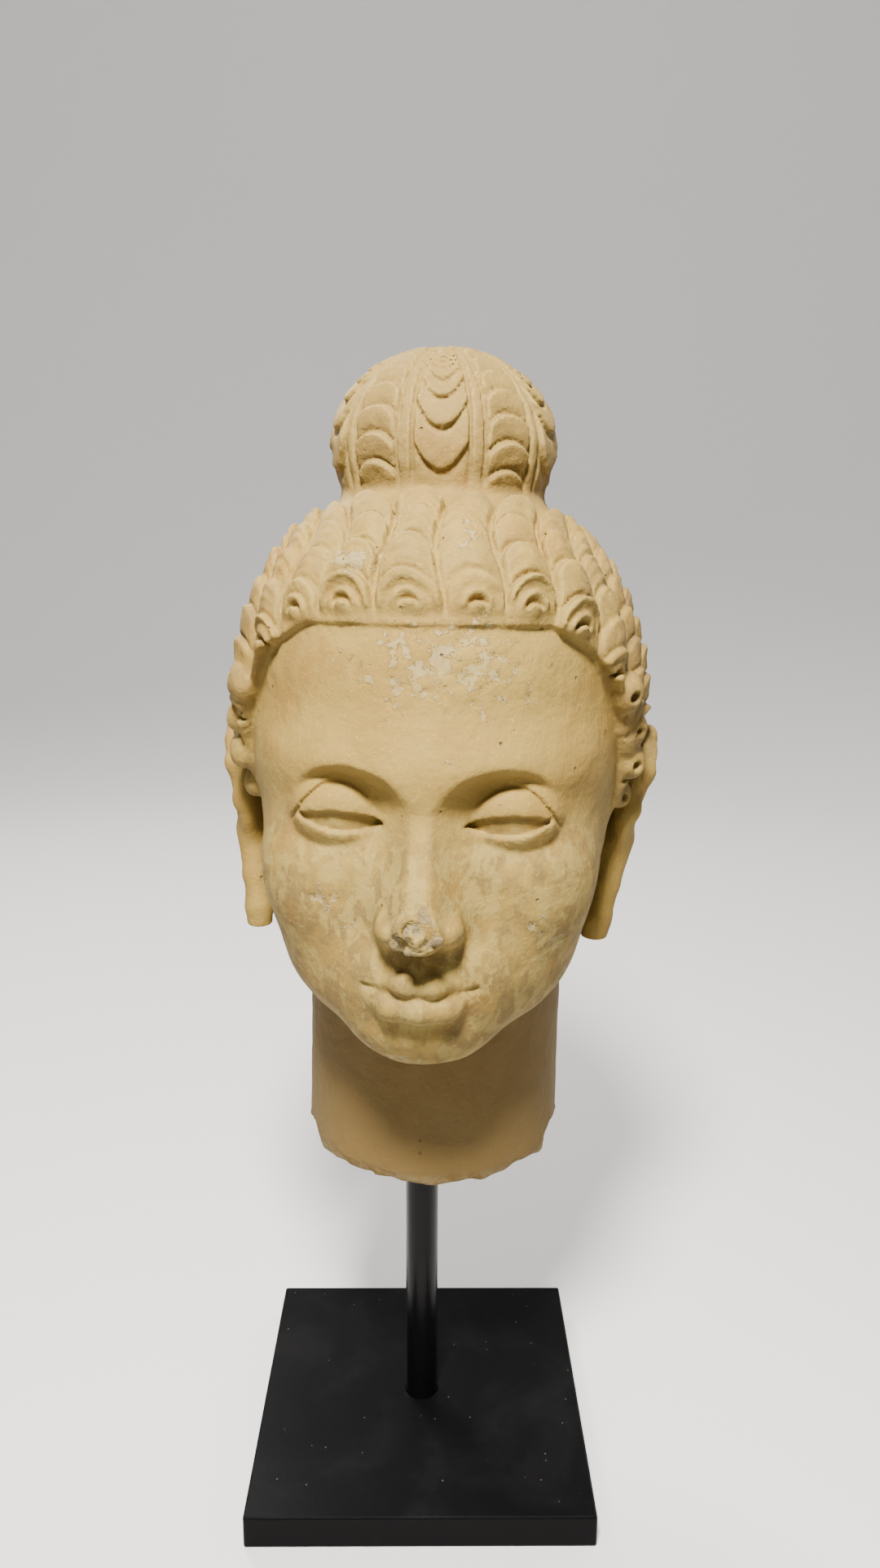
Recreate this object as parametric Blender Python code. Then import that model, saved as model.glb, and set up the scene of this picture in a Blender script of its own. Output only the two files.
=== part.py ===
"""Stucco head with a topknot, held up by a steel post on a square steel plate.

Metres, +Z up, the face towards -Y. The origin is the middle of the plate's underside.
The head is carved as a field, which is negative inside the stucco and positive outside it, and
its skin is then reduced to a few thousand triangles. The carving's own unit is the notch, of
which the head is 281 high, so that every form of the head is a share of the head's height.
"""

import math
from concurrent.futures import ThreadPoolExecutor

import bmesh
import bpy
import numpy as np
import openvdb
from mathutils import Euler, Matrix, Vector

# Driving dimensions, in metres
PLATE_SIDE = 0.127
PLATE_THICKNESS = 0.0127
PLATE_BEVEL = 0.0008
POST_DIAMETER = 0.0127
POST_BEVEL = 0.0006
POST_STANDING = 0.1188
POST_IN_NECK = 0.055
POST_IN_PLATE = 0.006
SEAT_GAP = 0.0003
HEAD_HEIGHT = 0.286
HEAD_SHIFT_X = 0.004
HEAD_SHIFT_Y = 0.002

# How the head sits on the post, in degrees: it leans to +X, turns towards -X and nods forward
HEAD_LEAN = 0.65
HEAD_TURN = -4.0
HEAD_NOD = 1.0

# The skin's fineness
HEAD_TRIANGLES = 9200
CELL = 1.1
ROUND_SIDES = 40

NOTCHES = 281
NOTCH = HEAD_HEIGHT / NOTCHES

# Colours, roughness and metallic value of the materials
STUCCO = ((0.56, 0.43, 0.27), 0.85, 0.0)
BLACK_STEEL = ((0.012, 0.012, 0.013), 0.4, 0.0)

# Levels of the head, in notches over the neck's underside
CHIN = 57.0
CROWN = 236.0
EYE_LINE = (CHIN + CROWN) / 2 - 6
HAIRLINE = 196.0
THIRD = (HAIRLINE - CHIN) / 3
BROW = CHIN + 2 * THIRD
NOSE_BASE = CHIN + THIRD
MOUTH = NOSE_BASE - THIRD / 3

# The hair: its locks from the topknot down to the hairline, and the hairline's level at turns from
# the middle of the face, in degrees
HAIR_CENTRE = (0, 5, 162)
HAIR_REACH = 76.0
LOCKS = 24
LOCK_TURN = 2 * math.pi / LOCKS
LOCK_SHIFT = math.radians(3)
ROLL = 10.5
LINE_TURNS = np.radians((0, 32, 47, 58.5, 67, 73, 77, 81, 86, 104, 114, 126, 138, 180))
LINE_LEVELS = (HAIRLINE, HAIRLINE - 1, 186, 170, 148, 124, 122, 136, 152, 154, 138, 108, 92, 86)
# The temple curls: level, degrees beyond the hairline, and size
CURLS = ((172, 3.2, 6.8), (159, 5.2, 5.4), (147, 3.2, 6.2), (134, 4.8, 5.0))

# The topknot
KNOT_CENTRE = (0, 6, 249)
KNOT_RADII = (36.0, 35.0, 29.0)
KNOT_SHIFT = math.radians(2)
TONGUES = 5

# The breaks and chips, as the eggs that are cut away: their middles and radii
CHIPS = (
    ((53, -12, -5), (12, 22, 18)),
    ((-47, -12, -3), (8, 12, 8)),
    ((-29, -43, -3), (12, 9, 6)),
    ((24, -45, -4), (12, 7, 6)),
    ((1, -102, NOSE_BASE + 8), (11, 12, 10)),
    ((-7, -95.5, NOSE_BASE + 1), (6, 8, 5)),
    ((3, -94, NOSE_BASE + 15), (4, 6, 7)),
    ((-41, -4, 246), (5, 6, 4)),
    ((38, 0, 234), (4, 6, 4)),
    ((79, -2, 150), (5, 9, 6)),
)

# The block of stucco that the head is carved from, in notches
BLOCK_LOW = (-82, -104, -6)
BLOCK_HIGH = (82, 98, 286)
BLOCK_CELLS = 4
FIELD_SLACK = 6.0
POINTS_AT_ONCE = 60000


def size_of(v):
    return np.sqrt(np.einsum("ij,ij->i", v, v))


def join(a, b, soft):
    """The union of two forms, filled in a fillet about as wide as soft."""
    h = np.clip(0.5 + 0.5 * (b - a) / soft, 0, 1)
    return b + (a - b) * h - soft * h * (1 - h)


def meet(a, b, soft):
    """What two forms share, its edge rounded over a width of soft."""
    return -join(-a, -b, soft)


def carve(a, b, soft):
    """Form a without form b."""
    return -join(-a, b, soft)


def egg(p, centre, radii):
    """An ellipsoid."""
    q = (p - np.float32(centre)) / np.float32(radii)
    k = size_of(q)
    return k * (k - 1) / np.maximum(size_of(q / np.float32(radii)), 1e-6)


def strand(p, stations, soft=2.0):
    """A round bar through stations (x, y, z, radius)."""
    form = None
    for (*a, ra), (*b, rb) in zip(stations, stations[1:]):
        a, b = np.float32(a), np.float32(b)
        t = np.clip((p - a) @ (b - a) / ((b - a) @ (b - a)), 0, 1)
        bar = size_of(p - a - t[:, None] * (b - a)) - (ra + (rb - ra) * t)
        form = bar if form is None else join(form, bar, soft)
    return form


def smooth_step(low, high, x):
    t = np.clip((x - low) / (high - low), 0, 1)
    return t * t * (3 - 2 * t)


def mirrored(p):
    """The points with both halves of the head folded onto +X."""
    q = p.copy()
    q[:, 0] = np.abs(q[:, 0])
    return q


def about_upright(p, middle, degrees):
    """The points turned about an upright axis through middle, which lets a form turn the other way."""
    c, s = math.cos(math.radians(degrees)), math.sin(math.radians(degrees))
    x, y = p[:, 0] - np.float32(middle[0]), p[:, 1] - np.float32(middle[1])
    return np.stack((middle[0] + c * x + s * y, middle[1] - s * x + c * y, p[:, 2]), 1)


def cranium(p):
    return join(egg(p, (0, 8, 163), (65, 76, 72)), egg(p, (0, -14, 182), (53, 53, 50)), 12)


def skull_and_neck(p):
    q = mirrored(p)
    form = join(cranium(p), egg(p, (0, -12, 119), (57, 60, 62)), 18)
    form = join(form, egg(p, (0, -32, 88), (47, 43, 32)), 14)
    form = join(form, egg(q, (30, -43, 115), (22, 22, 22)), 14)
    form = join(form, egg(p, (0, -60, 71), (21, 17, 14)), 12)
    neck = strand(p, ((0, 3, -30, 47), (0, 10, 115, 46)))
    return join(form, neck, 6)


def eyes(p, form):
    q = mirrored(p)
    x, y, z = q.T
    form = join(form, egg(p, (0, -27, BROW + 2), (52, 46, 16)), 15)
    socket = egg(about_upright(q, (27.5, -80), 24), (27.5, -80, EYE_LINE + 1.5), (25, 19.5, 14.5))
    form = carve(form, socket, np.interp(z, (EYE_LINE - 10, EYE_LINE + 7), (10, 0.8)))
    # the eye's opening lies between two bows that meet at its corners
    centre = (25.5, -53.0, EYE_LINE - 2)
    across = (x - centre[0]) / 14.0
    bow = 1 - across * across
    corner = EYE_LINE - 3.5 + 0.9 * across
    opening = np.maximum(z - (corner + 2.8 * bow), corner - 4.0 * bow - z)
    opening = np.maximum(opening, y - centre[1])
    lid = egg(q, centre, (17.5, 15.9, 15.4))
    fold = np.hypot(lid * 0.6, z - (corner + 11.0 * bow)) - 1.0
    form = join(form, carve(lid, fold, 1.2), 1.4)
    form = carve(form, opening, 0.4)
    return join(form, egg(q, centre, (16.6, 13.5, 13.2)), 0.4)


def nose(p, form):
    q = mirrored(p)
    x, y, z = q.T
    ridge = np.interp(z, (NOSE_BASE + 3, NOSE_BASE + 9, BROW - 8, BROW + 6), (-90, -90, -73.5, -74))
    half = np.interp(z, (NOSE_BASE, BROW - 10, BROW + 4), (4.0, 2.6, 5.0))
    flank = (x - half - 0.66 * (y - ridge)) / math.hypot(1, 0.66)
    bridge = meet(flank, (ridge - y) * 0.92, 1.6)
    bridge = meet(bridge, z - BROW, 8.0)
    bridge = meet(bridge, NOSE_BASE + 1.5 - z, 3.0)
    bridge = meet(bridge, y + 58, 4.0)
    form = join(form, bridge, 3.5)
    form = join(form, egg(p, (0, -86.5, NOSE_BASE + 5.5), (7.2, 6.6, 5.8)), 3)
    form = join(form, egg(q, (8.6, -78.5, NOSE_BASE + 4.2), (4.7, 7.8, 4.8)), 2.6)
    crease = strand(q, ((15.6, -75, NOSE_BASE + 1.5, 1.0), (14.2, -77.5, NOSE_BASE + 9.5, 0.7)))
    form = carve(form, crease, 2.2)
    nostril = egg(q, (5.4, -82.5, NOSE_BASE - 0.8), (2.7, 4.0, 3.0))
    return carve(form, nostril, 1.2)


def mouth(p, form):
    q = mirrored(p)
    form = join(form, egg(p, (0, -60, MOUTH), (24, 20, 17)), 12)
    sulcus = strand(q, ((0, -84.4, MOUTH - 12.5, 2.6), (11, -80.6, MOUTH - 11.5, 2.0)))
    form = carve(form, sulcus, 8)
    upper = ((0, -80.2, MOUTH + 1.8, 3.0), (4.5, -80.6, MOUTH + 2.8, 3.4), (18, -72.6, MOUTH + 2.0, 1.6))
    lower = ((0, -80.0, MOUTH - 5.4, 4.8), (8, -78.6, MOUTH - 4.8, 4.4), (16, -73.4, MOUTH - 1.6, 2.4))
    parting = ((0, -85.2, MOUTH - 1.8, 1.1), (6, -84.2, MOUTH - 0.9, 1.0), (17.5, -75.8, MOUTH + 0.4, 0.8))
    form = join(form, strand(q, upper, 2.5), 0.9)
    form = join(form, strand(q, lower, 2.5), 1.0)
    form = carve(form, strand(q, parting, 1.0), 1.2)
    philtrum = strand(p, ((0, -84.5, MOUTH + 12, 1.6), (0, -84.2, MOUTH + 6, 2.0)))
    return carve(form, philtrum, 3)


def ears(p, form):
    q = mirrored(p)
    # the ear on +X lies closer to the jaw, the more so the lower it hangs
    q[:, 0] += np.where(p[:, 0] > 0, 0.13 * np.clip(136 - p[:, 2], 0, 62), 0)
    ear = egg(q, (69, 9, 128), (5.5, 13, 21))
    lobe = strand(q, ((70, 8, 112, 4.6), (67.5, 4, 96, 4.2), (66, 2, 84, 4.8), (65.5, 2, 74, 4.8)))
    ear = join(ear, lobe, 4)
    web = egg(q, (60, 15, 98), (7, 9, 24))
    ear = join(ear, web, 7)
    bowl = egg(q, (78, 11, 131), (9, 8.5, 15))
    ear = carve(ear, bowl, 1.5)
    front = ((72.4, 2, 130, 2.2), (73.4, 1.5, 139, 2.7), (73.8, 5, 146.5, 3.1), (74.0, 11, 150.5, 3.2))
    back = ((74.2, 17.5, 149, 3.0), (74.2, 22, 142, 2.8), (73.8, 23, 132, 2.7), (73, 20.5, 119, 2.6))
    ear = join(ear, strand(q, (*front, *back, (71.2, 14.5, 107, 2.6)), 4), 1.5)
    ear = join(ear, strand(q, ((72, 15.5, 141, 1.6), (72.6, 15.5, 128, 1.9), (71, 9, 113, 2.2))), 1.6)
    ear = join(ear, egg(q, (70.8, -1, 126), (3.2, 3.4, 4.8)), 2)
    ear = meet(ear, 77 - q[:, 2], 1.0)
    return join(form, ear, 3)


def rolls(level, period):
    """The height, from 0 to 1, of rolls stacked along a level, each rising slowly to a sharp cut."""
    w = level / period
    w = w - np.floor(w)
    return smooth_step(0, 0.14, w) * (0.40 + 0.60 * w / 0.84) * (1 - smooth_step(0.84, 1.0, w))


def lock_end(across, up, number, drilled, rimmed):
    """A lock's curled end: an arched rim, a drilled crescent under it and a tongue that fills it.

    Returns its height and how much of the lock's rolls shows beside it.
    """
    above = np.maximum(up - 3.4 - 0.8 * np.sin(3 * number), 0)
    out = np.hypot(across, above) * (1.18 + 0.1 * np.sin(5 * number))
    hollow = smooth_step(2.0, 2.7, out) * (1 - smooth_step(3.5, 4.4, out)) * smooth_step(3.2, 5.8, up)
    tongue = (1 - smooth_step(1.5, 2.6, out)) * smooth_step(0.8, 3.2, up)
    rims = np.exp(-(((out - 5.4) / 0.8) ** 2)) + 0.9 * np.exp(-(((out - 8.0) / 0.8) ** 2))
    rims = rims * rimmed * smooth_step(2, 6, up)
    return 0.7 * tongue + 1.3 * rims - drilled * hollow, smooth_step(8.2, 9.4, out)


def around_head(p):
    """Turn from the face's middle, distance from the head's axis and the way down from its crown."""
    x, y, z = (p - np.float32(HAIR_CENTRE)).T
    around = np.hypot(x, y)
    return np.arctan2(x, -y), around, np.arctan2(around, z) * HAIR_REACH


def lock_place(turn, around, down):
    """Which lock a place is on, how far across it from -1 to 1, how far up it, and how broad it is."""
    # the front locks stay broad up to the topknot, so the others are swept back from it
    swept = 0.5 * (1 - smooth_step(34, 62, around))
    strayed = turn - swept * np.sin(turn) + 0.025 * np.sin(down / 8 + 2 * np.sin(3 * turn))
    number = np.floor((strayed - LOCK_SHIFT) / LOCK_TURN)
    middle = (number + 0.5) * LOCK_TURN + LOCK_SHIFT
    # a lock's rolls are counted up from where its middle meets the hairline
    line = np.interp(np.abs(middle), LINE_TURNS, LINE_LEVELS) - HAIR_CENTRE[2]
    up = np.arccos(np.clip(line / (HAIR_REACH + 2), -1, 1)) * HAIR_REACH - down
    breadth = around / (1 - swept * np.cos(turn)) * LOCK_TURN
    return number, (strayed - middle) / (LOCK_TURN / 2), up, breadth


def arch(u):
    """How far an arched roll droops from its top, at u across the lock."""
    return 9 * (1 - np.sqrt(1 - 0.95 * np.clip(np.abs(u), 0, 1) ** 2))


def lock_relief(turn, around, down):
    """The height of the locks over the hair's ground."""
    number, u, up, breadth = lock_place(turn, around, down)
    side = smooth_step(math.radians(25), math.radians(55), np.abs(turn))
    front = 1 - smooth_step(math.radians(40), math.radians(50), np.abs(turn))
    back = smooth_step(math.radians(100), math.radians(125), np.abs(turn))
    bend = arch(u)
    # the middle locks of the brow are worn smoother than the rest
    crisp = 0.95 - 0.3 * np.cos(1.9 * number)
    jitter = 1.5 * np.sin(2.3 * number + 0.7) * smooth_step(14, 30, up + bend)
    stacked = rolls(up + bend - 3.6 + jitter, ROLL) * (3.0 - 1.2 * side) * crisp
    end, beside = lock_end(u * breadth / 2, up, number, 1.6 + 2.1 * side, front)
    fade = 1 - smooth_step(0.8, 1.0, np.abs(u))
    low = 1 - front * (1 - smooth_step(0.8, 5.0, up))
    bulge = np.clip(breadth * 0.175, 0.6, 3.6) * np.maximum(np.cos(u * math.pi / 2), 0) ** 1.2
    relief = bulge * (0.15 + 0.85 * low) + (stacked * beside + end) * fade * low
    relief = relief * (1 - 0.3 * back)
    # a lock's upper end is an arch under the topknot's waist
    return relief * smooth_step(0, 3.5 + 5 * side, around - 37 - bend * (1 - 0.6 * side))


def below_hairline(turn, around, level):
    """How far a level lies below the hairline; negative above it."""
    step = math.radians(1.5)
    about = (np.abs(turn) + d for d in (-step, 0, step))
    before, line, after = (np.interp(t, LINE_TURNS, LINE_LEVELS) for t in about)
    slope = (after - before) / (2 * step * np.maximum(around, 30))
    return (line - level) / np.sqrt(1 + slope**2)


def hair(p, form):
    turn, around, down = around_head(p)
    thick = np.interp(np.abs(turn), np.radians((0, 30, 60, 90, 180)), (1.0, 1.6, 3.2, 3.8, 5.5))
    cap = cranium(p) - thick - lock_relief(turn, around, down)
    form = join(form, meet(cap, below_hairline(turn, around, p[:, 2]), 1.2), 1.5)
    return temple_curls(p, form)


def temple_curls(p, form):
    """Small curls down the edge of the hair in front of the ears; those on +X have a drilled eye."""
    q = mirrored(p)
    for level, beyond, size in CURLS:
        turn = np.interp(-level, -np.float32(LINE_LEVELS[:6]), LINE_TURNS[:6]) + math.radians(beyond)
        girth = math.sqrt(1 - ((level - HAIR_CENTRE[2]) / HAIR_REACH) ** 2)
        reach = girth / math.hypot(math.sin(turn) / 70, math.cos(turn) / 81)
        centre = np.float32((reach * math.sin(turn), 8 - reach * math.cos(turn), level))
        form = join(form, egg(q, centre, (0.85 * size, size, 1.05 * size)), 1.5)
        outwards = np.float32((0.45, -0.87, -0.2))
        ends = (*(centre + 0.62 * size * outwards), 0.24 * size), (*(centre + 9 * outwards), 0.42 * size)
        form = carve(form, strand(p, ends), 0.8)
    return form


def topknot(p, form):
    x, y, z = (p - np.float32(KNOT_CENTRE)).T
    turn = np.arctan2(x, -y) - KNOT_SHIFT
    column = math.pi / TONGUES
    number = np.round(turn / column)
    across = np.hypot(x, y)
    down = np.arctan2(across, z) * 33.0
    tongue = number % 2 == 0
    half = np.where(tongue, 14.0, 12.8)
    u = np.degrees(turn - number * column) / half
    inside = 1 - smooth_step(0.90, 1.0, np.abs(u))
    # the hanging tongues grow longer downwards
    hung = rolls(np.log(np.maximum(down - 14.4 + 9.0 * u * u, 2) / 18.6) / math.log(1.35) + 0.92, 1.0)
    bent = 7.0 * (1 - np.sqrt(1 - 0.9 * np.clip(np.abs(u), 0, 1) ** 2))
    arched = rolls(bent - down + 3.3 + 1.3 * np.sin(2 * number), 7.8)
    relief = np.where(tongue, 2.6 * hung, 2.8 * arched) * inside
    relief = relief * smooth_step(5, 14, down) * (1 - smooth_step(62, 68, down))
    seam = np.exp(-(((np.abs(u) - 1.07) / 0.06) ** 2)) * smooth_step(8, 18, across)
    strip = smooth_step(1.09, 1.16, np.abs(u))
    relief = relief + 1.5 * strip - 1.2 * seam * (1 - smooth_step(64, 70, down))
    dome = egg(p, KNOT_CENTRE, KNOT_RADII) - relief
    waist = strand(p, ((0, 6, 215, 34.0), (0, 6, 246, 34.0)))
    return join(form, join(dome, waist, 4), 5)


def breaks(p, form):
    """The neck's broken underside and its chips, the nose's chipped tip and the topknot's knocks."""
    x, y, z = p.T
    rough = 0.8 * np.sin(x * 0.21 + 1) * np.sin(y * 0.17) + 0.5 * np.sin(x * 0.53) * np.sin(y * 0.47)
    form = meet(form, rough - z, 1.2)
    for centre, radii in CHIPS:
        form = carve(form, egg(p, centre, radii), 1.0)
    return form


def head_field(p):
    form = skull_and_neck(p)
    form = eyes(p, form)
    form = nose(p, form)
    form = mouth(p, form)
    form = hair(p, form)
    form = ears(p, form)
    form = topknot(p, form)
    return breaks(p, form)


def sample(field, points):
    """The field at many points, worked out on all processors."""
    parts = np.array_split(points, max(1, len(points) // POINTS_AT_ONCE))
    with ThreadPoolExecutor() as pool:
        return np.concatenate(list(pool.map(field, parts)))


def skin_of(field, cell):
    """Points and quads of the surface where the field is zero, with only the blocks near it sampled."""
    low = np.float32(BLOCK_LOW)
    side = cell * BLOCK_CELLS
    count = np.ceil((np.float32(BLOCK_HIGH) - low) / side).astype(int)
    blocks = np.stack(np.meshgrid(*(np.arange(n) for n in count), indexing="ij"), -1).reshape(-1, 3)
    middles = sample(field, (low + (blocks + 0.5) * side).astype(np.float32))
    near = np.abs(middles) < side * math.sqrt(3) / 2 + FIELD_SLACK
    steps = np.stack(np.meshgrid(*[np.arange(BLOCK_CELLS)] * 3, indexing="ij"), -1).reshape(-1, 3)
    fine = (blocks[near][:, None] * BLOCK_CELLS + steps).reshape(-1, 3)
    values = np.repeat(np.sign(middles)[:, None] * 3 * cell, len(steps), 1)
    values[near] = sample(field, (low + fine * cell).astype(np.float32)).reshape(-1, len(steps))
    values = values.reshape(*count, *[BLOCK_CELLS] * 3).transpose(0, 3, 1, 4, 2, 5)
    grid = openvdb.FloatGrid(3 * cell)
    grid.copyFromArray(np.ascontiguousarray(values.reshape(count * BLOCK_CELLS), np.float32))
    points, quads = grid.convertToQuads(0.0)
    return low + points * cell, quads[:, ::-1]


def material(name, look):
    colour, roughness, metallic = look
    made = bpy.data.materials.new(name)
    made.use_nodes = True
    shader = made.node_tree.nodes["Principled BSDF"]
    shader.inputs["Base Color"].default_value = (*colour, 1)
    shader.inputs["Roughness"].default_value = roughness
    shader.inputs["Metallic"].default_value = metallic
    made.diffuse_color = (*colour, 1)
    return made


def new_object(name, mesh, look=None):
    made = bpy.data.objects.new(name, mesh)
    bpy.context.scene.collection.objects.link(made)
    if look:
        mesh.materials.append(look)
    return made


def round_bar(name, diameter, low, high, look=None):
    """An upright round bar on the Z axis, from height low to height high."""
    shape = bmesh.new()
    bmesh.ops.create_cone(
        shape,
        cap_ends=True,
        segments=ROUND_SIDES,
        radius1=diameter / 2,
        radius2=diameter / 2,
        depth=high - low,
        matrix=Matrix.Translation((0, 0, (low + high) / 2)),
    )
    mesh = bpy.data.meshes.new(name)
    shape.to_mesh(mesh)
    shape.free()
    mesh.shade_smooth()
    mesh.set_sharp_from_angle(angle=math.radians(30))
    return new_object(name, mesh, look)


def cutter(name, diameter, low, high):
    made = round_bar(name, diameter, low, high)
    made.hide_render = True
    made.display_type = "WIRE"
    return made


def cut(target, tool):
    modifier = target.modifiers.new("Cut " + tool.name, "BOOLEAN")
    modifier.operation = "DIFFERENCE"
    modifier.object = tool


def bevel(target, width, segments):
    modifier = target.modifiers.new("Bevel", "BEVEL")
    modifier.width = width
    modifier.segments = segments
    modifier.limit_method = "ANGLE"


def base_plate(look):
    shape = bmesh.new()
    size = Matrix.Diagonal((PLATE_SIDE, PLATE_SIDE, PLATE_THICKNESS, 1))
    bmesh.ops.create_cube(shape, matrix=Matrix.Translation((0, 0, PLATE_THICKNESS / 2)) @ size)
    mesh = bpy.data.meshes.new("base_plate")
    shape.to_mesh(mesh)
    shape.free()
    plate = new_object("base_plate", mesh, look)
    bevel(plate, PLATE_BEVEL, 2)
    foot = PLATE_THICKNESS - POST_IN_PLATE
    cut(plate, cutter("plate_hole", POST_DIAMETER + 2 * SEAT_GAP, foot - SEAT_GAP, PLATE_THICKNESS * 2))
    return plate


def post(look):
    foot = PLATE_THICKNESS - POST_IN_PLATE
    top = PLATE_THICKNESS + POST_STANDING + POST_IN_NECK
    made = round_bar("post", POST_DIAMETER, foot, top, look)
    bevel(made, POST_BEVEL, 1)
    return made


def head_place():
    turned = Euler([math.radians(a) for a in (HEAD_NOD, HEAD_LEAN, HEAD_TURN)]).to_matrix().to_4x4()
    neck_underside = Vector((HEAD_SHIFT_X, HEAD_SHIFT_Y, PLATE_THICKNESS + POST_STANDING))
    return Matrix.Translation(neck_underside) @ turned


def head(look):
    points, quads = skin_of(head_field, CELL)
    mesh = bpy.data.meshes.new("head")
    mesh.from_pydata((points * NOTCH).tolist(), [], quads.tolist())
    mesh.shade_smooth()
    made = new_object("head", mesh, look)
    made.matrix_world = head_place()
    fewer = made.modifiers.new("Fewer faces", "DECIMATE")
    fewer.ratio = HEAD_TRIANGLES / (2 * len(quads))
    socket_top = PLATE_THICKNESS + POST_STANDING + POST_IN_NECK + SEAT_GAP
    cut(made, cutter("neck_socket", POST_DIAMETER + 2 * SEAT_GAP, PLATE_THICKNESS, socket_top))
    return made


def main():
    for old in list(bpy.data.objects):
        bpy.data.objects.remove(old)
    stucco = material("stucco", STUCCO)
    steel = material("black_steel", BLACK_STEEL)
    base_plate(steel)
    post(steel)
    head(stucco)


main()
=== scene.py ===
"""Looks of the stucco head on its stand: the carved skin at its full fineness, the finish of every
surface, a plain pale floor, soft light and the camera.

Metres, +Z up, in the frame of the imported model. The skin is carved from the same field as the solid
head, in the same notches, and is then weathered: the waver of the worked surface, crumbled breaks,
flakes of slip and the combed grooves of the front locks.
"""

import itertools
import math
from concurrent.futures import ThreadPoolExecutor

import bmesh
import bpy
import numpy as np
import openvdb
from mathutils import Euler, Matrix, Vector


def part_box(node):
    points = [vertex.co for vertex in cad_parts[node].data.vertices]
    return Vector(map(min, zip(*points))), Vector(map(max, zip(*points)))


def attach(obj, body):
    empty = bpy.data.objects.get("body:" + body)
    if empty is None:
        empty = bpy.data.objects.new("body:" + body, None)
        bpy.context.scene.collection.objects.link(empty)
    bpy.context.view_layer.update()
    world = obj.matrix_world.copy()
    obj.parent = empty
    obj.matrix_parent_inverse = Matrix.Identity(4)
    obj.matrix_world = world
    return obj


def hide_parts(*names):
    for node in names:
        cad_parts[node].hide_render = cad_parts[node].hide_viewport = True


# Driving dimensions, in metres
PLATE_THICKNESS = 0.0127
POST_DIAMETER = 0.0127
POST_STANDING = 0.1188
POST_IN_NECK = 0.055
SEAT_GAP = 0.0003
HEAD_HEIGHT = 0.286
HEAD_SHIFT_X = 0.004
HEAD_SHIFT_Y = 0.002

# How the head sits on the post, in degrees: it leans to +X, turns towards -X and nods forward
HEAD_LEAN = 0.65
HEAD_TURN = -4.0
HEAD_NOD = 1.0

NOTCHES = 281
NOTCH = HEAD_HEIGHT / NOTCHES

# Levels of the head, in notches over the neck's underside
CHIN = 57.0
CROWN = 236.0
EYE_LINE = (CHIN + CROWN) / 2 - 6
HAIRLINE = 196.0
THIRD = (HAIRLINE - CHIN) / 3
BROW = CHIN + 2 * THIRD
NOSE_BASE = CHIN + THIRD
MOUTH = NOSE_BASE - THIRD / 3

# The neck's axis as two points, each with the neck's radius
NECK_BAR = ((0, 3, -30, 47), (0, 10, 115, 46))

# The hair: its locks from the topknot down to the hairline, and the hairline's level at turns from
# the middle of the face, in degrees
HAIR_CENTRE = (0, 5, 162)
HAIR_REACH = 76.0
LOCKS = 24
LOCK_TURN = 2 * math.pi / LOCKS
LOCK_SHIFT = math.radians(3)
ROLL = 10.5
LINE_TURNS = np.radians((0, 32, 47, 58.5, 67, 73, 77, 81, 86, 104, 114, 126, 138, 180))
LINE_LEVELS = (HAIRLINE, HAIRLINE - 1, 186, 170, 148, 124, 122, 136, 152, 154, 138, 108, 92, 86)
# The temple curls: level, degrees beyond the hairline, and size
CURLS = ((172, 3.2, 6.8), (159, 5.2, 5.4), (147, 3.2, 6.2), (134, 4.8, 5.0))

# The topknot
KNOT_CENTRE = (0, 6, 249)
KNOT_RADII = (36.0, 35.0, 29.0)
KNOT_SHIFT = math.radians(2)
TONGUES = 5

# The breaks and chips, as the eggs that are cut away: their middles and radii
CHIPS = (
    ((53, -12, -5), (12, 22, 18)),
    ((-47, -12, -3), (8, 12, 8)),
    ((-29, -43, -3), (12, 9, 6)),
    ((24, -45, -4), (12, 7, 6)),
    ((1, -102, NOSE_BASE + 8), (11, 12, 10)),
    ((-7, -95.5, NOSE_BASE + 1), (6, 8, 5)),
    ((3, -94, NOSE_BASE + 15), (4, 6, 7)),
    ((-41, -4, 246), (5, 6, 4)),
    ((38, 0, 234), (4, 6, 4)),
    ((79, -2, 150), (5, 9, 6)),
)

# The block of stucco that the head is carved from, in notches
BLOCK_LOW = (-82, -104, -6)
BLOCK_HIGH = (82, 98, 286)
BLOCK_CELLS = 4
FIELD_SLACK = 6.0
POINTS_AT_ONCE = 60000

# The fine skin
FINE_CELL = 0.78
SKIN_TRIANGLES = 190000

# The weathering's noises: their longest wave in notches, octaves and seed
WAVER = (13, 2, 1)
TOOLED = (4.5, 3, 5)
CRUMBS = (4.2, 3, 9)
FACETS = (6.5, 2, 9)
FACET_GRAIN = (3.0, 2, 12)
UNDERSIDE_CRUMBS = (6, 2, 10)
CHIP_OUTLINE = (3.2, 2, 31)
FLAKE_OUTLINE = (3.4, 2, 13)
COMB_WEAR = (16, 1, 21)

# The combed grooves' depth and spacing, and how far a flake of slip stands proud, in notches
COMB_DEPTH = 0.26
COMB_SPACING = 3.5
SLIP_THICKNESS = 0.32

# Where flakes of the pale slip are left: how dense they are, and each patch's middle and radii
SLIP_PATCHES = (
    (1.2, (6, -72, 184), (46, 34, 22)),
    (1.1, (-24, -60, 214), (15, 18, 10)),
    (0.9, (14, -58, 222), (16, 18, 14)),
    (0.9, (-9, -88, 122), (9, 16, 20)),
    (0.9, (-30, -66, 112), (24, 20, 14)),
    (0.8, (36, -60, 100), (24, 20, 16)),
    (0.9, (-6, -72, 62), (24, 18, 9)),
)

# How far off, in notches, the skin's own surroundings tell its grooves from its edges
GROOVE_REACH = 2.2
HOLLOW_REACH = 6.0
EDGE_REACH = 2.0

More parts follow.
